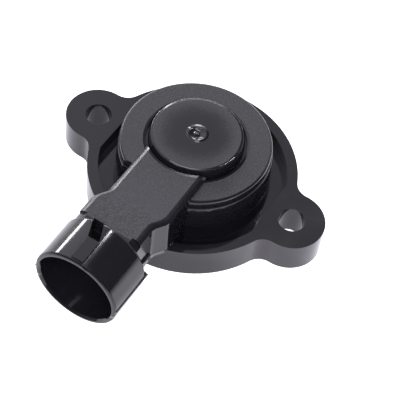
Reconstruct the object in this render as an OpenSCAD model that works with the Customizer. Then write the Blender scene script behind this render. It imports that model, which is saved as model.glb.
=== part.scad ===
// Throttle position sensor with two mounting ears, a round drum and a side connector.
// Units are millimetres, +Z is up, and the mounting face lies at Z = 0.
// The two ears lie along X and the connector points along -Y.
// The origin is on the axis of the rotor, at the mounting face.

/* [Which piece] */
// Node to build, or all

/* [Flange] */
// Outer radius of the round flange
flange_r = 25.3; // [25:0.1:26]
// Height of the flange and of the ears
flange_h = 8.2; // [7.6:0.1:8.8]
// Distance of each ear hole from the axis
ear_x = 27.3; // [26.8:0.1:29]
// Radius of the round end of each ear
ear_r = 8.0; // [7.4:0.1:8.6]
// Radius of each ear hole
ear_hole_r = 3.2; // [2.6:0.1:3.4]
// Radius of the hollow between an ear and the flange
waist_r = 4.0; // [3:0.5:6]
// Inner radius of the raised rim round the flange
rim_inner_r = 22.7; // [22:0.1:23.4]
// Distance of the straight recess ends from the axis
recess_half_x = 21.2; // [20.6:0.1:22]
// Height of the recess floor
recess_z = 4.6; // [4:0.1:6]

/* [Drum] */
// Radius of the flat top of the drum
drum_top_r = 18.0; // [17.8:0.1:18.3]
// Radius of the drum wall at the recess floor
drum_base_r = 18.95; // [18.8:0.05:19.4]
// Height of the flat top of the drum
drum_top_z = 18.3; // [17.9:0.1:19]
// Height of the step under the drum's top band
band_z = 15.8; // [15:0.1:16.4]
// Depth of that step
band_step = 0.3; // [0.1:0.05:0.5]
// Rounding of the drum's top edge
drum_round = 0.9; // [0.4:0.1:1.2]
// Place of the straight cut on the left of the neck
drum_cut_y = 14.4; // [14:0.1:15]

/* [Centre disc] */
// Radius of the disc's top
disc_top_r = 10.67; // [10.2:0.05:11]
// Radius of the disc at its foot
disc_foot_r = 11.4; // [11.1:0.05:11.5]
// Height of the sloping band under the disc's edge
disc_slope_h = 1.4; // [1:0.1:1.8]
// Height of the disc's top
disc_z = 20.65; // [20.4:0.05:21.2]
// Radius of the groove round the disc
groove_r = 11.95; // [11.8:0.05:12.4]
// Height of the groove's floor
groove_z = 17.3; // [17.2:0.1:17.6]
// Radius of the moulding gate's dimple
gate_r = 2.15; // [1.6:0.05:2.6]
// Depth of that dimple
gate_depth = 0.5; // [0.3:0.05:0.7]
// Radius of the gate mark left inside the dimple
gate_nub_r = 0.7; // [0.4:0.1:1]

/* [Neck] */
// Height of the neck's flat top
neck_z = 20.2; // [20:0.1:20.4]
// Half the width of the neck's top
neck_half_w = 6.6; // [6.2:0.05:7]
// Width of the bevel along each side
neck_bevel_w = 1.45; // [1.2:0.05:1.7]
// Height of that bevel
neck_bevel_h = 1.05; // [0.9:0.05:1.3]
// Widening of each side wall down to the flange
neck_draft = 0.3; // [0.1:0.05:0.5]
// Start of the sideways bend
bend_start_y = 24.0; // [23:0.1:25]
// End of the sideways bend
bend_end_y = 28.4; // [27.6:0.1:29.4]
// Start of the part of the neck that is trimmed to the shroud's round
neck_trim_y = 33.0; // [32.6:0.1:33.6]

/* [Connector] */
// Sideways place of the connector's axis
conn_x = -2.05; // [-2.6:0.05:-1.5]
// Height of the connector's axis
conn_z = 11.3; // [11.2:0.05:11.8]
// Outer radius of the shroud
shroud_r = 10.75; // [10.5:0.05:11]
// Thickness of the shroud's wall
shroud_wall = 1.3; // [1.1:0.05:1.5]
// Back of the shroud, measured from the rotor's axis
shroud_back_y = 34.3; // [34:0.1:35]
// Mouth of the shroud, measured from the rotor's axis
shroud_mouth_y = 46.4; // [45.6:0.1:47.2]
// Thickness of the wall at the back of the shroud
shroud_floor = 1.3; // [1.1:0.1:1.6]
// Rounding of the shroud's outer edges
shroud_round = 0.7; // [0.4:0.1:0.9]
// How far the ridge on the mould's parting line stands out
ridge_out = 0.35; // [0.2:0.05:0.4]
// Width of the locking nib on top of the shroud
nib_w = 2.95; // [2.4:0.05:3.4]
// Height of the nib above the shroud
nib_h = 0.5; // [0.4:0.05:0.9]
// Front of the nib, measured from the rotor's axis
nib_front_y = 45.7; // [45:0.1:46]
// Back of the nib, measured from the rotor's axis
nib_back_y = 39.5; // [39:0.1:40]
// Sideways lean of the slot behind the nib, for each millimetre back
slot_lean = 0.39; // [0.2:0.01:0.42]
// Height of the slot's floor
slot_z = 16.0; // [15.8:0.1:18.4]
// Back wall of the slot, measured from the rotor's axis
slot_back_y = 33.3; // [33.1:0.1:33.7]
// Length of the ramp that leads down into the slot
slot_ramp = 1.2; // [0.8:0.1:1.4]

/* [Terminals] */
// Distance between two terminals
pitch = 4.2; // [4:0.1:4.4]
// Width of a terminal blade
blade_w = 2.3; // [1.8:0.1:2.8]
// Thickness of a terminal blade
blade_t = 0.8; // [0.6:0.1:0.8]
// Height of the blades' centre
blade_z = 12.3; // [12.1:0.1:12.5]
// Tip of the blades, measured from the rotor's axis
blade_tip_y = 39.4; // [38.8:0.1:40]

/* [Inside] */
// Radius of the chamber in the drum
chamber_r = 16.2; // [16:0.05:16.4]
// Height of the chamber's roof
chamber_z = 16.2; // [16:0.1:16.4]
// Radius of the back cover
cover_r = 17.5; // [17.4:0.05:17.8]
// Thickness of the back cover
cover_t = 2.0; // [1.8:0.1:2.1]
// Thickness of the element plate
plate_t = 1.2; // [1:0.1:1.4]
// Outer radius of the element plate
plate_r = 15.4; // [15.2:0.05:15.6]
// Width of the outer, resistive track
outer_track_w = 1.8; // [1.4:0.1:2]
// Width of the inner, collecting track
inner_track_w = 1.7; // [1.3:0.1:1.9]
// Clear space between the two tracks
track_space = 1.4; // [1.2:0.1:1.6]
// Thickness of the printed tracks
track_t = 0.08; // [0.06:0.01:0.12]

/* [Rotor] */
// Radius of the rotor's hub
hub_r = 6.0; // [5.8:0.05:6.2]
// Radius of the rotor's plate
rotor_r = 14.6; // [14.2:0.1:14.8]
// Radius of the drive socket
socket_r = 4.1; // [3.8:0.05:4.3]
// Depth of the round part of the drive socket
socket_depth = 4.0; // [3.4:0.1:4.6]
// Depth of the slot beyond it, for the flat end of the shaft
tang_depth = 3.0; // [2.4:0.1:3.6]
// Width of that slot
tang_w = 3.0; // [2.4:0.1:3.6]
// Turn of the rotor between its two stops, in degrees
rotor_turn = 100; // [90:1:104]
// Running gap of the rotor in its bearings
running_gap = 0.05; // [0.03:0.01:0.08]
// Radius of the return spring's wire
spring_wire_r = 0.45; // [0.35:0.05:0.5]
// Turns of the return spring
spring_turns = 4; // [3:1:4]

/* [Hidden] */
eps = 0.01;
fine = 0.02;
arc_fn = 96;
pin_fn = 32;
// Depth to which one solid is sunk into the next, so that they join
root = 1;
lip_r = drum_top_r + band_step;
lip_soft = 0.2;
disc_round = 0.35;
disc_drop = 0.25;
disc_draft = 0.05;
round_steps = 5;
gate_sink = 0.35;

// Waist fillet: centre of the circle that touches both the flange and the ear
waist_a = flange_r + waist_r;
waist_b = ear_r + waist_r;
waist_cx = (waist_a * waist_a - waist_b * waist_b + ear_x * ear_x) / (2 * ear_x);
waist_cy = sqrt(waist_a * waist_a - waist_cx * waist_cx);

cover_depth = 0.6;
cover_top_z = cover_depth + cover_t;
cover_gap = 0.05;
collar_h = 2.0;
collar_w = 1.6;
hub_bore_r = hub_r + running_gap;
rotor_seal_r = 0.69;
lip_groove_z = cover_depth + 0.5;
lip_groove_h = 1.5;

rotor_plate_z = 9.6;
rotor_plate_t = 2.0;
rotor_top_z = rotor_plate_z + rotor_plate_t;
hub_sink = 0.1;
hub_low_z = cover_depth + hub_sink;
journal_r = 3.0;
journal_top_z = 17.9;
journal_bore_top_z = 18.2;
boss_r = 5.2;
boss_low_z = 14.2;
shoulder_r = 4.6;
washer_t = 0.4;
washer_gap = 0.15;
shoulder_z = boss_low_z - washer_t - washer_gap;
tang_short = 0.5;

plate_low_z = chamber_z - plate_t;
plate_bore_gap = 0.3;
plate_bore_r = boss_r + plate_bore_gap;
track_low_z = plate_low_z - track_t;
track_half = 150;
track_mid = 90;
track_edge = 1.2;
outer_out_r = plate_r - track_edge;
outer_in_r = outer_out_r - outer_track_w;
inner_out_r = outer_in_r - track_space;
inner_in_r = inner_out_r - inner_track_w;
trace_inset = 0.3;
link_w = 1.2;
pad_reach = 60;
tail_top_z = track_low_z;
tail_low_z = tail_top_z - blade_t;
rivet_y = 12.6;
rivet_r = 0.6;
rivet_head_r = 1.05;
rivet_head_t = 0.3;
head_side = 0.3;
head_above = 0.2;
pad_half = 1.3;
stake_at_r = 7.3;
stake_r = 0.8;
stake_head_r = 1.25;
stake_head_t = 0.5;
stake_angles = [20, 140, 260];

wiper_mid = 40;
wiper_t = 0.25;
wiper_base_w = 3.0;
wiper_pad_y = -6.4;
wiper_in = 1.6;
finger_w = 1.2;
finger_tip = 0.6;
pin_r = 0.4;
pin_over = 0.25;
contact_r = 0.35;
contact_gap = 0.02;
outer_mid_r = (outer_in_r + outer_out_r) / 2;
inner_mid_r = (inner_in_r + inner_out_r) / 2;
tail_contact_z = track_low_z - contact_gap - contact_r;

lug_mid = 200;
lug_half = 6;
lug_out_r = 15.6;
stop_side = 0.3;
stop_in_r = rotor_r + stop_side;
stop_width = 7;
stop_slack = 0.8;
stop_over = 1;

seal_mid_r = 20.4;
seal_wire_r = 0.78;
seal_groove_in_r = 19.5;
seal_groove_out_r = 21.3;
seal_groove_depth = 1.62;

spring_r = 9.4;
coil_gap = 0.1;
spring_pitch = 2 * spring_wire_r + coil_gap;
spring_low_z = cover_top_z + spring_wire_r;
spring_steps = 24;
spring_sides = 8;
spring_count = spring_turns * spring_steps;
spring_top_z = spring_low_z + spring_pitch * spring_turns;
leg_side = 0.3;
leg_share = 0.92;
leg_short = 0.4;
spring_path = [for (i = [0 : spring_count]) coil_at(i)];
spring_ring = [for (i = [0 : spring_count]) for (k = [0 : spring_sides - 1])
    spring_path[i] + [
        cos(360 * i / spring_steps) * spring_wire_r * cos(360 * k / spring_sides),
        sin(360 * i / spring_steps) * spring_wire_r * cos(360 * k / spring_sides),
        spring_wire_r * sin(360 * k / spring_sides)
    ]];
spring_faces = concat(
    [[for (k = [spring_sides - 1 : -1 : 0]) k]],
    [for (i = [0 : spring_count - 1]) for (k = [0 : spring_sides - 1])
        [i * spring_sides + k, i * spring_sides + (k + 1) % spring_sides,
            (i + 1) * spring_sides + (k + 1) % spring_sides, (i + 1) * spring_sides + k]],
    [[for (k = [0 : spring_sides - 1]) spring_count * spring_sides + k]]
);

ridge_t = 0.25;
ridge_root = 0.6;
ridge_start_y = 28.6;
ridge_end_y = 46.0;
ridge_turn = 0.5;
slot_side = 0.1;
slot_lip = 0.15;
socket_floor_y = shroud_back_y + shroud_floor;
shroud_bore_r = shroud_r - shroud_wall;
bore_draft = 0.1;
mouth_bevel_l = 0.5;
mouth_bevel_w = 0.35;
well_back_y = 31.5;
well_half_w = 6.2;
well_low_z = 9.8;
well_top_z = 15.0;
step_front_y = 20.6;
step_back_y = 18.4;
mould_gap = 0.01;

neck_back_y = 5;
neck_into_shroud = 0.4;
neck_front_y = shroud_back_y + neck_into_shroud;
neck_root = 0.5;
neck_under_in = 1.7;
neck_trim = 0.1;
neck_end_r = shroud_r - neck_trim;
// Stations along the neck, closer together in the bend
bend_before = 0.4;
bend_in = 0.3;
bend_on = 1.2;
bend_swing = 0.1;
neck_ys = [
    neck_back_y, bend_start_y - bend_before, bend_start_y + bend_in, bend_start_y + bend_on,
    (bend_start_y + bend_end_y) / 2, bend_end_y - bend_on, bend_end_y - bend_in, bend_end_y + bend_before,
    neck_front_y
];
// Shares of the bevel's height and width at each level of its rounded side
bevel_steps = [[1, 1], [0.43, 0.64], [0.03, 0.1], [0, 0]];
neck_levels = concat(
    [[recess_z - neck_root, neck_bevel_w + neck_draft]],
    [for (b = bevel_steps) [neck_z - b[0] * neck_bevel_h, b[1] * neck_bevel_w]]
);
neck_n = len(neck_ys);
neck_ring = 2 * neck_n;
neck_top_at = (len(neck_levels) - 1) * neck_ring;
neck_points = [for (lv = neck_levels) for (p = neck_level(lv[0], lv[1])) p];
neck_faces = concat(
    [for (i = [0 : neck_n - 2]) [neck_ring - 1 - i, neck_ring - 2 - i, i + 1, i]],
    [for (k = [0 : len(neck_levels) - 2]) for (i = [0 : neck_ring - 1])
        [k * neck_ring + (i + 1) % neck_ring, (k + 1) * neck_ring + (i + 1) % neck_ring,
            (k + 1) * neck_ring + i, k * neck_ring + i]],
    [for (i = [0 : neck_n - 2]) [neck_top_at + i, neck_top_at + i + 1,
        neck_top_at + neck_ring - 2 - i, neck_top_at + neck_ring - 1 - i]]
);

x_supply = conn_x + pitch;
x_signal = conn_x;
x_ground = conn_x - pitch;

// A flat ring segment between two radii and two angles
module ring_sector(r_in, r_out, from_a, to_a, h) {
    rotate([0, 0, from_a])
        rotate_extrude(angle = to_a - from_a, $fn = arc_fn)
            translate([r_in, 0])
                square([r_out - r_in, h]);
}

// A plain tube standing on Z = 0
module tube(r_out, r_in, h) {
    difference() {
        cylinder(r = r_out, h = h, $fn = arc_fn);
        translate([0, 0, -eps])
            cylinder(r = r_in, h = h + 2 * eps, $fn = arc_fn);
    }
}

// Points of a quarter round, from the side to the top
function quarter(cx, cy, r, n = round_steps) =
    [for (i = [0 : n]) [cx + r * cos(90 * i / n), cy + r * sin(90 * i / n)]];

// The small filled web between an ear and the flange
module waist(sx, sy) {
    polygon([
        [0, 0],
        [sx * waist_cx * flange_r / waist_a, sy * waist_cy * flange_r / waist_a],
        [sx * waist_cx, sy * waist_cy],
        [sx * (ear_x + (waist_cx - ear_x) * ear_r / waist_b), sy * waist_cy * ear_r / waist_b],
        [sx * ear_x, 0]
    ]);
}

module flange_outline() {
    difference() {
        union() {
            circle(r = flange_r, $fn = arc_fn);
            for (sx = [-1, 1]) {
                translate([sx * ear_x, 0])
                    circle(r = ear_r, $fn = arc_fn);
                for (sy = [-1, 1])
                    waist(sx, sy);
            }
        }
        for (sx = [-1, 1])
            for (sy = [-1, 1])
                translate([sx * waist_cx, sy * waist_cy])
                    circle(r = waist_r, $fn = arc_fn);
    }
}

module recess_outline() {
    intersection() {
        circle(r = rim_inner_r, $fn = arc_fn);
        translate([-recess_half_x, -rim_inner_r])
            square([2 * recess_half_x, 2 * rim_inner_r]);
    }
}

module flange() {
    difference() {
        linear_extrude(height = flange_h)
            flange_outline();
        translate([0, 0, recess_z])
            linear_extrude(height = flange_h)
                recess_outline();
    }
}

// The drum's wall below the top band
module drum_wall() {
    difference() {
        rotate_extrude($fn = arc_fn)
            polygon([[0, recess_z - root], [drum_base_r, recess_z - root], [drum_base_r, recess_z],
                [lip_r, band_z - lip_soft], [lip_r - lip_soft / 2, band_z], [0, band_z]]);
        drum_cut(drum_cut_y + band_step);
    }
}

// The drum's smaller top band with its rounded edge
module drum_band() {
    difference() {
        rotate_extrude($fn = arc_fn)
            polygon(concat([[0, band_z - root], [drum_top_r, band_z - root]],
                quarter(drum_top_r - drum_round, drum_top_z - drum_round, drum_round),
                [[0, drum_top_z]]));
        drum_cut(drum_cut_y);
    }
}

// The corner left out of the drum on the left of the neck
module drum_cut(at_y) {
    translate([-flange_r, -flange_r, recess_z])
        cube([flange_r, flange_r - at_y, drum_top_z]);
}

// Sideways place of the neck's centre line at a distance y from the axis
function bend_x(y) =
    y <= bend_start_y ? 0 :
    y >= bend_end_y ? conn_x :
    conn_x * bend_share((y - bend_start_y) / (bend_end_y - bend_start_y));
function bend_share(t) = t - bend_swing * sin(360 * t);

// Corners of one level of the neck, widened by w on each side
function neck_level(z, w) = concat(
    [for (i = [0 : neck_n - 1]) [bend_x(neck_ys[i]) + neck_half_w + w, -neck_ys[i], z]],
    [for (i = [neck_n - 1 : -1 : 0]) [bend_x(neck_ys[i]) - neck_half_w - w, -neck_ys[i], z]]
);

// The neck: a block with a sideways bend, bevelled along its top edges
module neck() {
    difference() {
        polyhedron(points = neck_points, faces = neck_faces, convexity = 6);
        // Underside, open past the flange
        translate([-flange_r, -shroud_back_y, 0])
            cube([2 * flange_r, shroud_back_y - flange_r + neck_under_in, flange_h]);
        // The corners that would stand out past the shroud
        translate([conn_x, -neck_trim_y, conn_z])
            rotate([90, 0, 0])
                tube(2 * shroud_r, neck_end_r, shroud_r);
    }
}

// The disc: a flat top, a rounded edge, a sloping band and a steep foot
module disc() {
    edge_r = disc_top_r + disc_drop;
    rotate_extrude($fn = arc_fn)
        polygon(concat(
            [[0, groove_z - root], [disc_foot_r, groove_z - root], [disc_foot_r, groove_z],
                [disc_foot_r - disc_draft, disc_z - disc_round - disc_slope_h]],
            quarter(edge_r - disc_round, disc_z - disc_round, disc_round),
            [[0, disc_z]]));
}

// The bowl that the moulding gate leaves, with its domed stub in the middle
module gate_mark() {
    bowl_r = (gate_r * gate_r + gate_depth * gate_depth) / (2 * gate_depth);
    difference() {
        intersection() {
            translate([0, 0, disc_z + bowl_r - gate_depth])
                sphere(r = bowl_r, $fn = arc_fn);
            translate([0, 0, disc_z - root])
                cylinder(r = gate_r, h = 2 * root, $fn = arc_fn);
        }
        translate([0, 0, disc_z - gate_depth - gate_nub_r * gate_sink])
            sphere(r = gate_nub_r, $fn = pin_fn);
    }
}

// The shroud as a solid of revolution about its own axis, pointing along -Y
module along_connector() {
    translate([conn_x, 0, conn_z])
        rotate([90, 0, 0])
            children();
}

module shroud_body() {
    rim_r = shroud_r - shroud_round;
    along_connector()
        rotate_extrude($fn = arc_fn)
            polygon(concat(
                [[0, shroud_back_y]],
                [for (i = [0 : round_steps]) [rim_r + shroud_round * sin(90 * i / round_steps),
                    shroud_back_y + shroud_round - shroud_round * cos(90 * i / round_steps)]],
                quarter(rim_r, shroud_mouth_y - shroud_round, shroud_round),
                [[0, shroud_mouth_y]]));
}

module shroud_bore() {
    along_connector()
        rotate_extrude($fn = arc_fn)
            polygon([
                [0, socket_floor_y], [shroud_bore_r - bore_draft, socket_floor_y],
                [shroud_bore_r, shroud_mouth_y - mouth_bevel_l],
                [shroud_bore_r + mouth_bevel_w, shroud_mouth_y + eps], [0, shroud_mouth_y + eps]
            ]);
    translate([conn_x - well_half_w, -socket_floor_y - eps, well_low_z])
        cube([2 * well_half_w, socket_floor_y - well_back_y + eps, well_top_z - well_low_z]);
}

// The thin ridge that the mould's parting line leaves along both sides
module parting_ridge() {
    flank = neck_half_w + neck_bevel_w;
    shoulder = shroud_back_y - ridge_turn;
    for (side = [-1, 1])
        translate([conn_x, 0, conn_z - ridge_t / 2])
            linear_extrude(height = ridge_t)
                polygon([
                    [side * (flank - ridge_root), -ridge_start_y], [side * flank, -ridge_start_y],
                    [side * (flank + neck_draft + ridge_out), -ridge_start_y - ridge_turn],
                    [side * (flank + neck_draft + ridge_out), -shoulder + ridge_turn],
                    [side * (shroud_r + ridge_out), -shoulder],
                    [side * (shroud_r + ridge_out / 2), -ridge_end_y],
                    [side * (shroud_r - ridge_root), -ridge_end_y],
                    [side * (shroud_r - ridge_root), -shroud_back_y - ridge_root],
                    [side * (flank - ridge_root), -shroud_back_y - ridge_root]
                ]);
}

module nib() {
    translate([conn_x - nib_w / 2, -nib_front_y, conn_z + shroud_r - root])
        cube([nib_w, nib_front_y - nib_back_y, root + nib_h]);
}

// The leaning slot behind the nib, where the plug's latch drops in
module latch_slot() {
    back = slot_back_y - slot_ramp;
    left = conn_x - nib_w / 2 - slot_side;
    shift = slot_lean * (nib_back_y - back);
    intersection() {
        translate([0, 0, slot_z - root])
            linear_extrude(height = shroud_r)
                polygon([[left, -nib_back_y], [left + nib_w, -nib_back_y],
                    [left + nib_w - shift, -back], [left - shift, -back]]);
        translate([-flange_r, 0, 0])
            rotate([90, 0, 90])
                linear_extrude(height = 2 * flange_r)
                    polygon([[-nib_back_y, slot_z], [-slot_back_y, slot_z], [-slot_back_y, neck_z - slot_lip],
                        [-back, neck_z + eps], [-back, neck_z + shroud_r], [-nib_back_y, neck_z + shroud_r]]);
    }
}

// Profile of a terminal in the Y-Z plane, grown by g on every side
module terminal_profile(g) {
    low = blade_z - blade_t / 2;
    polygon([
        [-blade_tip_y - g, low - g], [-step_front_y + g, low - g], [-step_back_y + g, tail_low_z - g],
        [-rivet_y + pad_half + g, tail_low_z - g], [-rivet_y + pad_half + g, tail_top_z + g],
        [-step_back_y - g, tail_top_z + g], [-step_front_y - g, low + blade_t + g],
        [-blade_tip_y - g, low + blade_t + g]
    ]);
}

module terminal_body(x, g) {
    translate([x - blade_w / 2 - g, 0, 0])
        rotate([90, 0, 90])
            linear_extrude(height = blade_w + 2 * g)
                terminal_profile(g);
}

// The chamber inside the drum, with the seat of the back cover
module chamber() {
    translate([0, 0, cover_top_z])
        difference() {
            cylinder(r = chamber_r, h = chamber_z - cover_top_z, $fn = arc_fn);
            translate([0, 0, boss_low_z - cover_top_z])
                cylinder(r = boss_r, h = chamber_z, $fn = arc_fn);
            for (a = stake_angles)
                rotate([0, 0, a])
                    translate([stake_at_r, 0, plate_low_z - stake_head_t - cover_top_z]) {
                        cylinder(r = stake_head_r, h = stake_head_t, $fn = pin_fn);
                        cylinder(r = stake_r, h = chamber_z, $fn = pin_fn);
                    }
            rotor_stops();
        }
    translate([0, 0, -eps])
        cylinder(r = cover_r + cover_gap, h = cover_top_z + 2 * eps, $fn = arc_fn);
    translate([0, 0, boss_low_z - eps])
        cylinder(r = journal_r + running_gap, h = journal_bore_top_z - boss_low_z + eps, $fn = arc_fn);
    for (x = [x_supply, x_signal, x_ground])
        translate([x, -rivet_y, chamber_z - eps])
            cylinder(r = rivet_head_r + head_side, h = rivet_head_t + head_above, $fn = pin_fn);
}

// The two ribs that stop the rotor, drawn from the cover's top up
module rotor_stops() {
    low_a = lug_mid - lug_half - stop_slack - stop_width;
    high_a = lug_mid + rotor_turn + lug_half + stop_slack;
    for (a = [low_a, high_a])
        translate([0, 0, rotor_plate_z - stop_over - cover_top_z])
            ring_sector(stop_in_r, chamber_r + root, a, a + stop_width, rotor_plate_t + 2 * stop_over);
}

module housing() {
    color([0.06, 0.06, 0.065])
        difference() {
            union() {
                flange();
                difference() {
                    union() {
                        drum_wall();
                        drum_band();
                        neck();
                    }
                    translate([0, 0, groove_z])
                        cylinder(r = groove_r, h = neck_z, $fn = arc_fn);
                }
                disc();
                shroud_body();
                parting_ridge();
                nib();
            }
            chamber();
            shroud_bore();
            latch_slot();
            gate_mark();
            for (sx = [-1, 1])
                translate([sx * ear_x, 0, -eps])
                    cylinder(r = ear_hole_r, h = flange_h + 2 * eps, $fn = arc_fn);
            translate([0, 0, -eps])
                tube(seal_groove_out_r, seal_groove_in_r, seal_groove_depth + eps);
            for (x = [x_supply, x_signal, x_ground])
                terminal_body(x, mould_gap);
        }
}

module terminal(x) {
    color([0.78, 0.77, 0.74])
        difference() {
            terminal_body(x, 0);
            translate([x, -rivet_y, tail_low_z - root])
                cylinder(r = rivet_r + fine, h = blade_t + 2 * root, $fn = pin_fn);
        }
}

module terminal_supply() {
    terminal(x_supply);
}

module terminal_signal() {
    terminal(x_signal);
}

module terminal_ground() {
    terminal(x_ground);
}

module element_plate() {
    color([0.16, 0.34, 0.24])
        difference() {
            translate([0, 0, plate_low_z])
                tube(plate_r, plate_bore_r, plate_t);
            for (a = stake_angles)
                rotate([0, 0, a])
                    translate([stake_at_r, 0, plate_low_z - eps])
                        cylinder(r = stake_r + fine, h = plate_t + 2 * eps, $fn = pin_fn);
            for (x = [x_supply, x_signal, x_ground])
                translate([x, -rivet_y, plate_low_z - eps])
                    cylinder(r = rivet_r + fine, h = plate_t + 2 * eps, $fn = pin_fn);
        }
}

module resistor_track() {
    color([0.09, 0.09, 0.1])
        translate([0, 0, track_low_z])
            ring_sector(outer_in_r, outer_out_r, track_mid - track_half, track_mid + track_half, track_t);
}

module collector_track() {
    color([0.12, 0.12, 0.13])
        translate([0, 0, track_low_z])
            ring_sector(inner_in_r, inner_out_r, track_mid - track_half, track_mid + track_half, track_t);
}

// Angle of a rivet at x about the rotor's axis
function pad_angle(x) = atan2(-rivet_y, x);

// A printed pad round a rivet
module pad(x) {
    translate([x - blade_w / 2, -rivet_y - pad_half, 0])
        cube([blade_w, 2 * pad_half, track_t]);
}

module rivet_hole(x) {
    translate([x, -rivet_y, -eps])
        cylinder(r = rivet_r + fine, h = root, $fn = pin_fn);
}

module trace_supply() {
    track_end = track_mid - track_half;
    color([0.75, 0.75, 0.77])
        translate([0, 0, track_low_z])
            difference() {
                union() {
                    ring_sector(outer_in_r + trace_inset, outer_out_r - trace_inset,
                        pad_angle(x_supply), track_end, track_t);
                    pad(x_supply);
                }
                rivet_hole(x_supply);
            }
}

module trace_signal() {
    track_end = track_mid - track_half;
    color([0.75, 0.75, 0.77])
        translate([0, 0, track_low_z])
            difference() {
                union() {
                    ring_sector(inner_in_r + trace_inset, inner_out_r - trace_inset,
                        pad_angle(x_signal), track_end, track_t);
                    pad(x_signal);
                    translate([x_signal - link_w / 2, -rivet_y, 0])
                        cube([link_w, rivet_y - inner_mid_r, track_t]);
                }
                rivet_hole(x_signal);
            }
}

module trace_ground() {
    track_end = track_mid + track_half - 360;
    color([0.75, 0.75, 0.77])
        translate([0, 0, track_low_z])
            difference() {
                union() {
                    ring_sector(outer_in_r + trace_inset, outer_out_r - trace_inset,
                        track_end, pad_angle(x_ground), track_t);
                    intersection() {
                        pad(x_ground);
                        ring_sector(hub_r, plate_r, track_end, track_end + pad_reach, track_t);
                    }
                }
                rivet_hole(x_ground);
            }
}

// A rivet that clamps a terminal's tail to the plate
module rivet(x) {
    shank_low = tail_low_z - rivet_head_t;
    color([0.8, 0.7, 0.42])
        translate([x, -rivet_y, shank_low]) {
            cylinder(r = rivet_head_r, h = rivet_head_t, $fn = pin_fn);
            cylinder(r = rivet_r, h = chamber_z - shank_low + rivet_head_t, $fn = pin_fn);
            translate([0, 0, chamber_z - shank_low])
                cylinder(r = rivet_head_r, h = rivet_head_t, $fn = pin_fn);
        }
}

module rivet_supply() {
    rivet(x_supply);
}

module rivet_signal() {
    rivet(x_signal);
}

module rivet_ground() {
    rivet(x_ground);
}

module back_cover() {
    color([0.1, 0.1, 0.11])
        difference() {
            union() {
                translate([0, 0, cover_depth])
                    cylinder(r = cover_r, h = cover_t, $fn = arc_fn);
                translate([0, 0, cover_top_z])
                    cylinder(r = hub_r + collar_w, h = collar_h, $fn = arc_fn);
            }
            translate([0, 0, -eps])
                cylinder(r = hub_bore_r, h = cover_top_z + collar_h + root, $fn = arc_fn);
            translate([0, 0, lip_groove_z])
                cylinder(r = hub_bore_r + 2 * rotor_seal_r + fine, h = lip_groove_h, $fn = arc_fn);
        }
}

module rotor_seal() {
    color([0.05, 0.05, 0.05])
        translate([0, 0, lip_groove_z + lip_groove_h / 2])
            rotate_extrude($fn = arc_fn)
                translate([hub_bore_r + rotor_seal_r, 0])
                    circle(r = rotor_seal_r, $fn = pin_fn);
}

module mount_seal() {
    color([0.05, 0.05, 0.05])
        translate([0, 0, seal_groove_depth - seal_wire_r])
            rotate_extrude($fn = arc_fn)
                translate([seal_mid_r, 0])
                    circle(r = seal_wire_r, $fn = pin_fn);
}

module rotor() {
    color([0.82, 0.8, 0.72])
        difference() {
            union() {
                translate([0, 0, hub_low_z])
                    cylinder(r = hub_r, h = rotor_plate_z - hub_low_z + root, $fn = arc_fn);
                translate([0, 0, rotor_plate_z])
                    cylinder(r = rotor_r, h = rotor_plate_t, $fn = arc_fn);
                translate([0, 0, rotor_plate_z])
                    ring_sector(rotor_r - root, lug_out_r, lug_mid - lug_half, lug_mid + lug_half, rotor_plate_t);
                translate([0, 0, rotor_top_z - root])
                    cylinder(r = shoulder_r, h = shoulder_z - rotor_top_z + root, $fn = arc_fn);
                translate([0, 0, rotor_top_z - root])
                    cylinder(r = journal_r, h = journal_top_z - rotor_top_z + root, $fn = arc_fn);
                wiper_stakes(0);
            }
            translate([0, 0, hub_low_z - eps])
                cylinder(r = socket_r, h = socket_depth + eps, $fn = arc_fn);
            tang_slot();
            translate([spring_r, 0, rotor_plate_z - root])
                cylinder(r = spring_wire_r + leg_side, h = rotor_plate_t + 2 * root, $fn = pin_fn);
        }
}

// The slot at the end of the drive socket
module tang_slot() {
    half_l = socket_r - tang_short;
    translate([-half_l, -tang_w / 2, hub_low_z])
        cube([2 * half_l, tang_w, socket_depth + tang_depth]);
}

// The two small pins that hold the wiper
module wiper_stakes(gap) {
    for (r = [inner_mid_r, outer_mid_r])
        rotate([0, 0, wiper_mid])
            translate([r - finger_w / 2, wiper_pad_y, rotor_top_z - root / 2])
                cylinder(r = pin_r + gap, h = root / 2 + wiper_t + pin_over, $fn = pin_fn);
}

module thrust_washer() {
    color([0.7, 0.71, 0.73])
        translate([0, 0, shoulder_z])
            tube(shoulder_r, journal_r + 2 * running_gap, washer_t);
}

// One springy finger, in the plane of its own run
module finger(r) {
    rise_z = tail_contact_z - rotor_top_z;
    rotate([0, 0, wiper_mid])
        translate([r - finger_w / 2, 0, rotor_top_z])
            rotate([90, 0, 90])
                linear_extrude(height = finger_w)
                    polygon([
                        [wiper_pad_y, 0], [wiper_pad_y + finger_w, 0], [-finger_tip, rise_z - wiper_t],
                        [finger_tip, rise_z - wiper_t], [2 * finger_tip, rise_z - wiper_t - finger_tip],
                        [2 * finger_tip + wiper_t, rise_z - finger_tip], [finger_tip, rise_z],
                        [-finger_tip, rise_z], [wiper_pad_y + finger_w, wiper_t], [wiper_pad_y, wiper_t]
                    ]);
}

module wiper() {
    color([0.85, 0.68, 0.35])
        difference() {
            union() {
                rotate([0, 0, wiper_mid])
                    translate([inner_mid_r - wiper_in, wiper_pad_y - wiper_base_w / 2, rotor_top_z])
                        cube([outer_mid_r - inner_mid_r + wiper_in + finger_w / 2, wiper_base_w, wiper_t]);
                finger(outer_mid_r);
                finger(inner_mid_r);
            }
            wiper_stakes(fine);
        }
}

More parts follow.
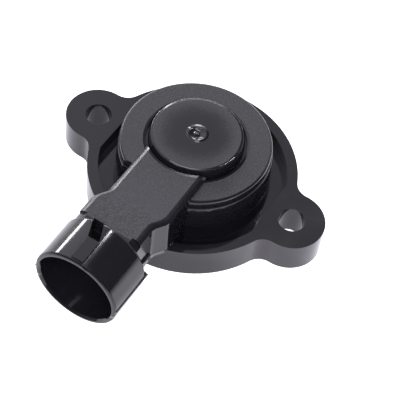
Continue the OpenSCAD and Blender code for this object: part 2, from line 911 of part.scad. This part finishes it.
module contact(r) {
    color([0.88, 0.88, 0.86])
        rotate([0, 0, wiper_mid])
            translate([r, 0, tail_contact_z])
                intersection() {
                    sphere(r = contact_r, $fn = pin_fn);
                    translate([-root, -root, 0])
                        cube([2 * root, 2 * root, root]);
                }
}

module contact_outer() {
    contact(outer_mid_r);
}

module contact_inner() {
    contact(inner_mid_r);
}

// Centre of the spring's wire at step i of its coil
function coil_at(i) = [spring_r * cos(360 * i / spring_steps), spring_r * sin(360 * i / spring_steps),
    spring_low_z + spring_pitch * i / spring_steps];

module return_spring() {
    color([0.66, 0.67, 0.7])
        union() {
            polyhedron(points = spring_ring, faces = spring_faces, convexity = 10);
            translate([spring_r, 0, spring_top_z])
                cylinder(r = spring_wire_r * leg_share, h = rotor_top_z - spring_top_z - leg_short, $fn = pin_fn);
        }
}

housing();
terminal_supply();
terminal_signal();
terminal_ground();
back_cover();
mount_seal();
rotor_seal();
element_plate();
resistor_track();
collector_track();
trace_supply();
trace_signal();
trace_ground();
rivet_supply();
rivet_signal();
rivet_ground();
rotor();
thrust_washer();
return_spring();
wiper();
contact_outer();
contact_inner();
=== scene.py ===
"""A throttle position sensor of black moulded plastic, lying on its mounting face on a white table.

Lengths are in metres unless a name ends in _mm or _px. The part's frame has its origin on the rotor's axis at
the mounting face, +Z up, and -Y out of the connector's mouth.
"""
import math
import bpy
from mathutils import Matrix, Vector


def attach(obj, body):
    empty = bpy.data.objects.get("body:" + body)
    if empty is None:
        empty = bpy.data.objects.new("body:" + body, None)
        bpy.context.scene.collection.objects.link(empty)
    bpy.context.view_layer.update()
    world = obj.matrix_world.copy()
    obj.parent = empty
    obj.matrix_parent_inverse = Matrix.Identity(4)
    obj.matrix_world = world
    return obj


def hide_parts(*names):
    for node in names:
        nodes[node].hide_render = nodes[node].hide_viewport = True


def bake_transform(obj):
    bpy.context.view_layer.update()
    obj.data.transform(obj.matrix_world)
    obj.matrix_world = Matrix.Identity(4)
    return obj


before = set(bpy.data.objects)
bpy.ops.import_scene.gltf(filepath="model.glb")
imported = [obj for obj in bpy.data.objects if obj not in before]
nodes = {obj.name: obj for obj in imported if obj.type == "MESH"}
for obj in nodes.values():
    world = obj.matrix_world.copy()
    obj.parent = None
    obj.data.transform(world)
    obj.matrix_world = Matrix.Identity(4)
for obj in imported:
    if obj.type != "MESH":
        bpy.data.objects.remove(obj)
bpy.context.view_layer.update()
mm = 0.001
scene = bpy.context.scene
scene.view_settings.view_transform = "Standard"

# Kinds of node that come back often. A RANGE node takes its value at input 0, maps the span from input 1 to
# input 2 to the span from input 3 to input 4, and doesn't go past either end. Unless they are given, both
# spans are 0 to 1. A MIX node takes two colours at inputs 6 and 7, and the share of the second at input 0.
MATH = "ShaderNodeMath"
VECTOR_MATH = "ShaderNodeVectorMath"
RANGE = "ShaderNodeMapRange"
MIX = "ShaderNodeMix"
NOISE = "ShaderNodeTexNoise"
BUMP = "ShaderNodeBump"
SPLIT = "ShaderNodeSeparateXYZ"
PLUS = {"operation": "ADD"}
MINUS = {"operation": "SUBTRACT"}
TIMES = {"operation": "MULTIPLY"}
LENGTH = {"operation": "LENGTH"}
ALONG = {"operation": "DOT_PRODUCT"}
HIGHER = {"operation": "MAXIMUM"}
COLOURS = {"data_type": "RGBA"}
# Nearly all values of a noise lie in this span of a RANGE node
NOISE_SPAN = {1: 0.3, 2: 0.7}


def linear(code):
    """A linear colour from an sRGB code such as #2A2B2F."""
    parts = [int(code[i:i + 2], 16) / 255 for i in (1, 3, 5)]
    return [c / 12.92 if c <= 0.04045 else ((c + 0.055) / 1.055) ** 2.4 for c in parts] + [1.0]


def join(node, links):
    """Links each source into the input of that name or number. A node stands for its first output in use."""
    for name, source in links.items():
        if isinstance(source, bpy.types.Node):
            source = next(output for output in source.outputs if output.enabled)
        node.id_data.links.new(source, node.inputs[name])


def add_node(tree, kind, settings=None, inputs=None, links=None):
    """Adds one node, sets its properties and inputs, and links its sources into it."""
    node = tree.nodes.new(kind)
    for name, value in (settings or {}).items():
        setattr(node, name, value)
    for name, value in (inputs or {}).items():
        node.inputs[name].default_value = value
    join(node, links or {})
    return node


def new_material(name):
    """An empty material with its node tree, its object coordinates and its shader."""
    made = bpy.data.materials.new(name)
    made.use_nodes = True
    tree = made.node_tree
    tree.nodes.clear()
    coords = add_node(tree, "ShaderNodeTexCoord").outputs["Object"]
    shader = add_node(tree, "ShaderNodeBsdfPrincipled")
    add_node(tree, "ShaderNodeOutputMaterial", links={"Surface": shader})
    return made, tree, coords, shader


# The camera stands where the photograph was taken from: it looks at the rotor's axis, is turned away from the
# part's +Y, tilted down and rolled about its line of sight. axis_px is where that axis is in the picture.
turn = math.radians(25.885)
tilt = math.radians(51.93)
roll = math.radians(7.733)
target = Vector((0, 0, 10 * mm))
distance = 327.8 * mm
picture_px = 400
focal_px = 1376.6
axis_px = (193.6, 161.42)
sensor_mm = 36

spin = Matrix.Rotation(turn, 3, "Z")
look = Vector((0, math.cos(tilt), -math.sin(tilt)))
up = Vector((0, math.sin(tilt), math.cos(tilt)))
right = Vector((1, 0, 0))
side_axis = spin @ (math.cos(roll) * right + math.sin(roll) * up)
top_axis = spin @ (math.cos(roll) * up - math.sin(roll) * right)
back_axis = spin @ -look
turned = Matrix((side_axis, top_axis, back_axis)).transposed().to_4x4()

camera_data = bpy.data.cameras.new("camera")
camera_data.sensor_width = sensor_mm
camera_data.lens = focal_px * sensor_mm / picture_px
camera_data.shift_x = (picture_px / 2 - axis_px[0]) / picture_px
camera_data.shift_y = (axis_px[1] - picture_px / 2) / picture_px
camera_data.clip_start = 10 * mm
camera = bpy.data.objects.new("camera", camera_data)
scene.collection.objects.link(camera)
camera.matrix_world = Matrix.Translation(target + distance * back_axis) @ turned
scene.camera = camera


def housing_places(tree, coords):
    """Ramps over places on the housing, by name, and the distance from the rotor's axis."""
    spot = add_node(tree, SPLIT, links={0: coords}).outputs
    normal = add_node(tree, "ShaderNodeNewGeometry").outputs["Normal"]
    facing = add_node(tree, SPLIT, links={0: normal}).outputs
    flat = add_node(tree, VECTOR_MATH, TIMES, {1: (1, 1, 0)}, {0: coords})
    from_axis = add_node(tree, VECTOR_MATH, LENGTH, links={0: flat})
    # Each ramp's source, where it starts and ends, and its value before and after
    ramps = {
        "upward": (facing["Z"], 0.70, 0.97, 0, 1),
        "above_flange": (spot["Z"], 8.6 * mm, 9.4 * mm, 0, 1),
        "before_shroud": (spot["Y"], -33.9 * mm, -33.3 * mm, 0, 1),
        "pale_end": (spot["Y"], -25 * mm, -9 * mm, 1, 0),
        "marked_end": (spot["Y"], -28 * mm, -23 * mm, 1, 0),
        "inside_groove": (from_axis, 10.3 * mm, 10.4 * mm, 1, 0),
        "outside_groove": (from_axis, 12.5 * mm, 12.6 * mm, 0, 1),
        "disc_edge": (from_axis, 10.25 * mm, 10.6 * mm, 0.6, 0),
        "outer_edge": (from_axis, 11.95 * mm, 12.6 * mm, 0, 0.9),
        "outside_bowl": (from_axis, 2.1 * mm, 2.4 * mm, 0, 1),
        "ring_outer_side": (from_axis, 2.2 * mm, 2.7 * mm, 1, 0),
        "ring_inner_side": (from_axis, 1.1 * mm, 1.9 * mm, 0.65, 1),
    }
    places = {"from_axis": from_axis}
    for name, (source, start, end, before, after) in ramps.items():
        places[name] = add_node(tree, RANGE, inputs={1: start, 2: end, 3: before, 4: after},
                                links={0: source})
    return places


def spark_eroded_share(tree, coords, places):
    """The upper faces have the texture. The shroud is glossy, and so are the bowl that the moulding gate
    leaves and the groove's broken edges. The disc's middle was polished by handling, out to an edge that
    wanders."""
    patch_width = 0.7143 * mm
    wander = 0.35 * mm
    handled_start = 2.6 * mm
    handled_end = 10.2 * mm
    patches = add_node(tree, NOISE, inputs={"Scale": 1 / patch_width, "Detail": 3.0},
                       links={"Vector": coords})
    astray = add_node(tree, RANGE, inputs=NOISE_SPAN | {3: -wander, 4: wander}, links={0: patches})
    reach = add_node(tree, MATH, PLUS, links={0: places["from_axis"], 1: astray})
    unworn = add_node(tree, RANGE, inputs={1: handled_start, 2: handled_end}, links={0: reach})
    off_groove = add_node(tree, MATH, PLUS, links={0: places["inside_groove"], 1: places["outside_groove"]})
    # The wear counts twice, so that the texture comes in slowly from the disc's middle
    share = places["upward"]
    for factor in (places["above_flange"], places["before_shroud"], unworn, unworn, off_groove,
                   places["outside_bowl"]):
        share = add_node(tree, MATH, TIMES, links={0: share, 1: factor})
    return share


def flow_marks(tree, coords, places):
    """Short dark marks that cross the texture near the connector, where a noise is near its middle value."""
    mark_spacing = 1.613 * mm
    darkest = 0.85
    flow = add_node(tree, NOISE, inputs={"Scale": 1 / mark_spacing, "Detail": 1.5, "Distortion": 3.0},
                    links={"Vector": coords})
    off_middle = add_node(tree, MATH, MINUS, {1: 0.5}, {0: flow})
    off_line = add_node(tree, MATH, {"operation": "ABSOLUTE"}, links={0: off_middle})
    on_line = add_node(tree, RANGE, inputs={1: 0.03, 2: 0.09, 3: darkest, 4: 0}, links={0: off_line})
    return add_node(tree, MATH, TIMES, links={0: on_line, 1: places["marked_end"]})


def broken_edges(tree, places):
    """The gate leaves a low raised ring round its bowl. Both edges of the groove are broken: the disc's falls
    to it, and that of the neck and the drum's top rises."""
    highest = 0.19 * mm
    ring = add_node(tree, MATH, TIMES, links={0: places["ring_outer_side"], 1: places["ring_inner_side"]})
    edges = add_node(tree, MATH, PLUS, links={0: places["disc_edge"], 1: places["outer_edge"]})
    profile = add_node(tree, MATH, PLUS, links={0: ring, 1: edges})
    raised = add_node(tree, MATH, TIMES, links={0: profile, 1: places["above_flange"]})
    return add_node(tree, BUMP, inputs={"Distance": highest, "Strength": 1.0}, links={"Height": raised})


def moulded_pbt():
    """Glass-filled PBT, moulded. The upper faces of the mould are spark eroded, so they come out satin with a
    fine sparkling grain. The side walls are polished so that the part leaves the mould, and they show soft
    reflections."""
    made, tree, coords, shader = new_material("glass_filled_pbt_spark_eroded")
    places = housing_places(tree, coords)
    eroded = spark_eroded_share(tree, coords, places)
    marks = flow_marks(tree, coords, places)
    # The real grain is too fine to show, so it is drawn coarser
    grain_width = mm / 3
    grain = add_node(tree, NOISE, inputs={"Scale": 1 / grain_width, "Detail": 3.0, "Roughness": 0.6},
                     links={"Vector": coords})
    fleck = add_node(tree, RANGE, inputs={1: 0.44, 2: 0.72}, links={0: grain})
    cloud_width = 6.25 * mm
    cloud = add_node(tree, NOISE, inputs={"Scale": 1 / cloud_width, "Detail": 3.0}, links={"Vector": coords})

    # The polished black is slightly clouded. The texture is greyer, palest towards the connector, and has a
    # light fleck on each grain.
    unmarked = add_node(tree, MATH, MINUS, {0: 1.0}, {1: marks})
    greyed = add_node(tree, MATH, TIMES, links={0: eroded, 1: unmarked})
    flecked = add_node(tree, MATH, TIMES, links={0: greyed, 1: fleck})
    polished = add_node(tree, MIX, COLOURS, {6: linear("#1F1F24"), 7: linear("#25252B")}, {0: cloud})
    texture = add_node(tree, MIX, COLOURS, {6: linear("#201F24"), 7: linear("#36353C")},
                       {0: places["pale_end"]})
    ground = add_node(tree, MIX, COLOURS, links={0: greyed, 6: polished, 7: texture})
    colour = add_node(tree, MIX, COLOURS, {7: linear("#454450")}, {0: flecked, 6: ground})
    even = add_node(tree, RANGE, inputs={3: 0.09, 4: 0.46}, links={0: eroded})
    uneven = add_node(tree, RANGE, inputs=NOISE_SPAN | {3: -0.02, 4: 0.04}, links={0: cloud})
    rough = add_node(tree, MATH, PLUS, links={0: even, 1: uneven})

    # The flow marks lie below the grain, by this many times its height
    mark_depth = 1.6
    grain_height = 0.03 * mm
    relief = add_node(tree, MATH, {"operation": "MULTIPLY_ADD"}, {1: -mark_depth}, {0: marks, 2: grain})
    strength = add_node(tree, RANGE, inputs={3: 0.005, 4: 0.55}, links={0: eroded})
    bump = add_node(tree, BUMP, inputs={"Distance": grain_height},
                    links={"Strength": strength, "Height": relief, "Normal": broken_edges(tree, places)})
    join(shader, {"Base Color": colour, "Roughness": rough, "Normal": bump})
    shader.inputs["IOR"].default_value = 1.52
    return made


def plain_plastic(name, dark, light, roughness, grain_width):
    """A moulded plastic or rubber with faint flow clouds, and a grain drawn coarser so that it shows."""
    made, tree, coords, shader = new_material(name)
    cloud_width = 5.556 * mm
    cloud = add_node(tree, NOISE, inputs={"Scale": 1 / cloud_width, "Detail": 3.0}, links={"Vector": coords})
    colour = add_node(tree, MIX, COLOURS, {6: linear(dark), 7: linear(light)}, {0: cloud})
    rough = add_node(tree, RANGE, inputs=NOISE_SPAN | {3: roughness - 0.05, 4: roughness + 0.05},
                     links={0: cloud})
    grain = add_node(tree, NOISE, inputs={"Scale": 1 / grain_width, "Detail": 3.0}, links={"Vector": coords})
    bump = add_node(tree, BUMP, inputs={"Distance": 0.02 * mm, "Strength": 0.35}, links={"Height": grain})
    join(shader, {"Base Color": colour, "Roughness": rough, "Normal": bump})
    return made


def drawn_metal(name, dark, light, roughness, line_mm):
    """A rolled, drawn or pressed metal: fine lines along its run, with a slightly uneven shine. line_mm is a
    line's size along X, Y and Z. The real lines are finer, and are drawn coarser so that they show."""
    made, tree, coords, shader = new_material(name)
    per_metre = [1 / (size * mm) for size in line_mm]
    along = add_node(tree, "ShaderNodeMapping", inputs={"Scale": per_metre}, links={"Vector": coords})
    lines = add_node(tree, NOISE, inputs={"Scale": 1.0, "Detail": 4.0}, links={"Vector": along})
    colour = add_node(tree, MIX, COLOURS, {6: linear(dark), 7: linear(light)}, {0: lines})
    rough = add_node(tree, RANGE, inputs=NOISE_SPAN | {3: roughness - 0.06, 4: roughness + 0.08},
                     links={0: lines})
    bump = add_node(tree, BUMP, inputs={"Distance": 0.01 * mm, "Strength": 0.3}, links={"Height": lines})
    join(shader, {"Base Color": colour, "Roughness": rough, "Normal": bump})
    shader.inputs["Metallic"].default_value = 1.0
    return made


def woven_laminate():
    """Glass cloth in epoxy, pressed. The cloth's squares show faintly through the surface."""
    made, tree, coords, shader = new_material("glass_cloth_epoxy_laminate")
    square = 0.5 * mm
    cloud_width = 3.333 * mm
    threads = add_node(tree, "ShaderNodeTexChecker", links={"Vector": coords}, inputs={
        "Scale": 1 / square, "Color1": linear("#2F5A3C"), "Color2": linear("#386647")})
    cloud = add_node(tree, NOISE, inputs={"Scale": 1 / cloud_width}, links={"Vector": coords})
    colour = add_node(tree, MIX, COLOURS, {7: linear("#2A4E35")}, {0: cloud, 6: threads})
    bump = add_node(tree, BUMP, inputs={"Distance": 0.01 * mm, "Strength": 0.3},
                    links={"Height": threads.outputs["Fac"]})
    join(shader, {"Base Color": colour, "Normal": bump})
    shader.inputs["Roughness"].default_value = 0.38
    return made


def printed_ink(name, dark, light, metallic, roughness):
    """A screen-printed film with a speckle of its own powder, drawn coarser so that it shows."""
    made, tree, coords, shader = new_material(name)
    speck = mm / 9
    powder = add_node(tree, "ShaderNodeTexVoronoi", inputs={"Scale": 1 / speck}, links={"Vector": coords})
    colour = add_node(tree, MIX, COLOURS, {6: linear(dark), 7: linear(light)}, {0: powder})
    bump = add_node(tree, BUMP, inputs={"Distance": 0.005 * mm, "Strength": 0.4}, links={"Height": powder})
    join(shader, {"Base Color": colour, "Normal": bump})
    shader.inputs["Metallic"].default_value = metallic
    shader.inputs["Roughness"].default_value = roughness
    return made


# Plain black mouldings, dull soft rubber, and the rotor's milky unfilled plastic
cover_finish = plain_plastic("black_pbt_moulded_plain", "#1D1D20", "#26262A", 0.42, 0.5 * mm)
rubber_finish = plain_plastic("nitrile_rubber_moulded", "#141415", "#1E1E1F", 0.62, mm / 3)
rotor_finish = plain_plastic("natural_acetal_moulded", "#D3CFC0", "#E0DCCE", 0.38, mm / 1.5)
# Metals, with the lines along the strip or wire, or with no direction where they were pressed
terminal_finish = drawn_metal("tinned_brass_rolled", "#A8A7A2", "#C9C8C2", 0.30, (1 / 4, 2, 1 / 4))
spring_finish = drawn_metal("spring_steel_drawn", "#77797D", "#9A9CA1", 0.30, (1 / 3, 1 / 3, 1 / 9))
wiper_finish = drawn_metal("phosphor_bronze_rolled", "#A67C4B", "#C4965C", 0.30, (1 / 3, 10 / 9, 1 / 3))
rivet_finish = drawn_metal("brass_headed", "#B0924F", "#CDB06A", 0.32, (0.4, 0.4, 0.4))
silver_finish = drawn_metal("silver_alloy_pressed", "#C4C4C4", "#DCDCDA", 0.25, (1 / 3, 1 / 3, 1 / 3))
washer_finish = drawn_metal("stainless_steel_stamped", "#8C8E91", "#ABADB0", 0.30, (0.4, 0.4, 0.4))
# Films on the laminate: matt carbon, and a dull silver
carbon_finish = printed_ink("carbon_ink_printed", "#141416", "#2A2A2E", 0.0, 0.46)
trace_finish = printed_ink("silver_ink_printed", "#A2A3A6", "#C6C7CA", 0.8, 0.42)

finishes = {
    "housing": moulded_pbt(),
    "back_cover": cover_finish,
    "mount_seal": rubber_finish,
    "rotor_seal": rubber_finish,
    "element_plate": woven_laminate(),
    "resistor_track": carbon_finish,
    "collector_track": carbon_finish,
    "rotor": rotor_finish,
    "thrust_washer": washer_finish,
    "return_spring": spring_finish,
    "wiper": wiper_finish,
    "contact_outer": silver_finish,
    "contact_inner": silver_finish,
}
for circuit in ("supply", "signal", "ground"):
    finishes["terminal_" + circuit] = terminal_finish
    finishes["trace_" + circuit] = trace_finish
    finishes["rivet_" + circuit] = rivet_finish
for node_name, finish in finishes.items():
    held = nodes[node_name].data.materials
    held.clear()
    held.append(finish)


def merged_copy(node_name, name):
    """A copy of a CAD node, selected and active, whose triangles share their points."""
    bpy.ops.object.select_all(action="DESELECT")
    copy = bpy.data.objects.new(name, nodes[node_name].data.copy())
    scene.collection.objects.link(copy)
    copy.select_set(True)
    bpy.context.view_layer.objects.active = copy
    bpy.ops.object.mode_set(mode="EDIT")
    bpy.ops.mesh.select_all(action="SELECT")
    bpy.ops.mesh.remove_doubles(threshold=0.002 * mm)
    bpy.ops.object.mode_set(mode="OBJECT")
    return copy


def weigh_edges(skin):
    """The neck's edge on the groove and the nib get the full radius, and the parting ridge gets none."""
    near = 0.2 * mm
    parting_z = 11.3 * mm
    upper_z = 18 * mm
    groove_radius = 11.9 * mm
    nib_y = -39 * mm
    weights = skin.data.attributes["bevel_weight_edge"].data
    for edge in skin.data.edges:
        if weights[edge.index].value > 0:
            middle = sum((skin.data.vertices[i].co for i in edge.vertices), Vector()) / 2
            at_groove = abs(middle.xy.length - groove_radius) < near
            if abs(middle.z - parting_z) < near:
                weights[edge.index].value = 0
            elif middle.z > upper_z and (at_groove or middle.y < nib_y):
                weights[edge.index].value = 1


def moulded_skin():
    """A merged copy of the housing whose sharp edges get the small radius that a mould leaves."""
    widest_radius = 0.28 * mm
    usual_share = 0.6
    skin = merged_copy("housing", "housing_skin")
    bpy.ops.object.mode_set(mode="EDIT")
    bpy.ops.mesh.select_all(action="SELECT")
    bpy.ops.mesh.dissolve_limited(angle_limit=math.radians(0.3))
    bpy.ops.mesh.select_mode(type="EDGE")
    bpy.ops.mesh.select_all(action="DESELECT")
    bpy.ops.mesh.edges_select_sharp(sharpness=math.radians(28))
    bpy.ops.transform.edge_bevelweight(value=usual_share)
    bpy.ops.object.mode_set(mode="OBJECT")
    weigh_edges(skin)
    soften = skin.modifiers.new("edge_radius", "BEVEL")
    soften.width = widest_radius
    soften.segments = 4
    soften.limit_method = "WEIGHT"
    soften.use_clamp_overlap = True
    soften.miter_outer = "MITER_ARC"
    bpy.ops.object.modifier_apply(modifier="edge_radius")
    bpy.ops.object.shade_smooth_by_angle(angle=math.radians(24.5))
    flatten = skin.modifiers.new("flat_faces", "WEIGHTED_NORMAL")
    flatten.mode = "FACE_AREA"
    flatten.weight = 100
    flatten.keep_sharp = True
    bpy.ops.object.modifier_apply(modifier="flat_faces")
    return skin


skin = moulded_skin()
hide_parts("housing")
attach(skin, "sensor_body")


def wound_spring():
    """A merged copy of the return spring, whose wire looks round."""
    spring = merged_copy("return_spring", "spring_wound")
    bpy.ops.object.shade_smooth_by_angle(angle=math.radians(60))
    return spring


# The return spring's lower end sits on the cover and its upper leg on the rotor. The copy is attached to
# neither, and its placement is baked into its points
spring = wound_spring()
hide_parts("return_spring")
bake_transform(spring)


def white_stage_material(name, glow, reflected_glow):
    """Matt white board. It keeps the object's shadow, glows white to the camera, and glows as painted light
    in reflections.
    """
    made, tree, coords, shader = new_material(name)
    shader.inputs["Base Color"].default_value = linear("#F4F4F4")
    shader.inputs["Roughness"].default_value = 0.9
    shader.inputs["Specular IOR Level"].default_value = 0.1
    ray = add_node(tree, "ShaderNodeLightPath").outputs
    shiny = add_node(tree, MATH, HIGHER, links={0: ray["Is Glossy Ray"], 1: ray["Is Transmission Ray"]})
    seen = add_node(tree, MATH, TIMES, {1: glow}, {0: ray["Is Camera Ray"]})
    # In reflections the board glows as painted light, a pool of light that is brightest round the object,
    # most on its right side, and fades with distance
    reach = add_node(tree, VECTOR_MATH, LENGTH, links={0: coords})
    bearing = add_node(tree, VECTOR_MATH, {"operation": "NORMALIZE"}, links={0: coords})
    rightward = add_node(tree, VECTOR_MATH, ALONG, {1: spin @ right}, {0: bearing})
    fading = add_node(tree, RANGE, inputs={1: 60 * mm, 2: 200 * mm, 3: reflected_glow, 4: 0.12 * reflected_glow},
                      links={0: reach})
    lopsided = add_node(tree, RANGE, inputs={1: 0.3, 2: 0.7, 3: 1, 4: 1.6}, links={0: rightward})
    painted_pool = add_node(tree, MATH, TIMES, links={0: fading, 1: lopsided})
    strength = add_node(tree, MATH, {"operation": "MULTIPLY_ADD"}, links={0: shiny, 1: painted_pool, 2: seen})
    # The painted light that the board gives in reflections is slightly violet, as on the real part
    tint = add_node(tree, MIX, COLOURS, {6: linear("#FFFFFF"), 7: linear("#F1EDFB")}, {0: shiny})
    join(shader, {"Emission Color": tint, "Emission Strength": strength})
    return made


bpy.ops.object.select_all(action="DESELECT")
bpy.ops.mesh.primitive_plane_add(size=6, location=(0, 0, 0))
table = bpy.context.object
table.name = "table"
table.data.materials.append(white_stage_material("white_board", glow=1.2, reflected_glow=0.88))


def studio():
    """What surrounds the object. The camera sees plain white. The object is lit by a dome that is bright on
    the left behind it and falls off to the right and to the camera's side, and by a white backdrop that
    stands low behind it."""
    world = bpy.data.worlds.new("studio")
    world.use_nodes = True
    tree = world.node_tree
    tree.nodes.clear()
    direction = add_node(tree, "ShaderNodeTexCoord").outputs["Generated"]
    height = add_node(tree, SPLIT, links={0: direction}).outputs["Z"]
    brightest = spin @ Vector((-0.553, 0.553, 0.623))
    toward = add_node(tree, VECTOR_MATH, ALONG, {1: brightest}, {0: direction})
    near = add_node(tree, RANGE, inputs={1: 0.40, 2: 1.0}, links={0: toward})
    nearest = add_node(tree, MATH, TIMES, links={0: near, 1: near})
    glow = add_node(tree, RANGE, inputs={3: 0.06, 4: 1.44}, links={0: nearest})
    backward = add_node(tree, VECTOR_MATH, ALONG, {1: spin @ Vector((0, 1, 0))}, {0: direction})
    low = add_node(tree, RANGE, inputs={1: 0.22, 2: 0.42, 3: 1.2, 4: 0}, links={0: height})
    behind = add_node(tree, RANGE, inputs={1: 0.15, 2: 0.55}, links={0: backward})
    backdrop = add_node(tree, MATH, TIMES, links={0: low, 1: behind})
    level = add_node(tree, MATH, HIGHER, links={0: glow, 1: backdrop})
    dome = add_node(tree, "ShaderNodeBackground", inputs={"Color": linear("#F6F2FC")},
                    links={"Strength": level})
    plain = add_node(tree, "ShaderNodeBackground", inputs={"Color": linear("#FFFFFF"), "Strength": 1.0})
    seen = add_node(tree, "ShaderNodeLightPath").outputs["Is Camera Ray"]
    either = add_node(tree, "ShaderNodeMixShader", links={0: seen, 1: dome, 2: plain})
    add_node(tree, "ShaderNodeOutputWorld", links={"Surface": either})
    return world


scene.world = studio()


def add_lamp(name, azimuth, elevation, size, watts, lean=0):
    """A soft box that faces the object. Azimuth 0 is straight behind it, and grows to the right."""
    lamp_distance = 0.9
    data = bpy.data.lights.new(name, "AREA")
    data.shape = "RECTANGLE"
    data.size, data.size_y = size
    data.energy = watts
    lamp = bpy.data.objects.new(name, data)
    scene.collection.objects.link(lamp)
    side = math.radians(azimuth)
    rise = math.radians(elevation)
    away = spin @ Vector((math.sin(side) * math.cos(rise), math.cos(side) * math.cos(rise), math.sin(rise)))
    facing = away.to_track_quat("Z", "Y").to_matrix().to_4x4()
    leaning = Matrix.Rotation(math.radians(lean), 4, "Z")
    lamp.matrix_world = Matrix.Translation(away * lamp_distance) @ facing @ leaning
    return lamp


add_lamp("strip_box_low_left", -36, 11.5, (0.32, 0.10), 2.1, lean=9)
add_lamp("strip_box_low_back", 0, 8, (0.7, 0.09), 1.5)
add_lamp("soft_box_high_right", 26, 59.8, (0.04, 0.09), 1.25)
# Two strips only make highlights. The one overhead draws the light lines on edges that face the camera.
rear = add_lamp("strip_box_back", -8, 22, (0.45, 0.06), 1.4)
rear.visible_diffuse = False
overhead = add_lamp("strip_box_overhead", 0, 90, (0.6, 0.12), 1.2)
overhead.visible_diffuse = False
# A broad fill from the camera's side only lifts the deepest shadows, and makes no highlight
fill = add_lamp("fill_front", 180, 50, (0.5, 0.5), 4.0)
fill.visible_glossy = False
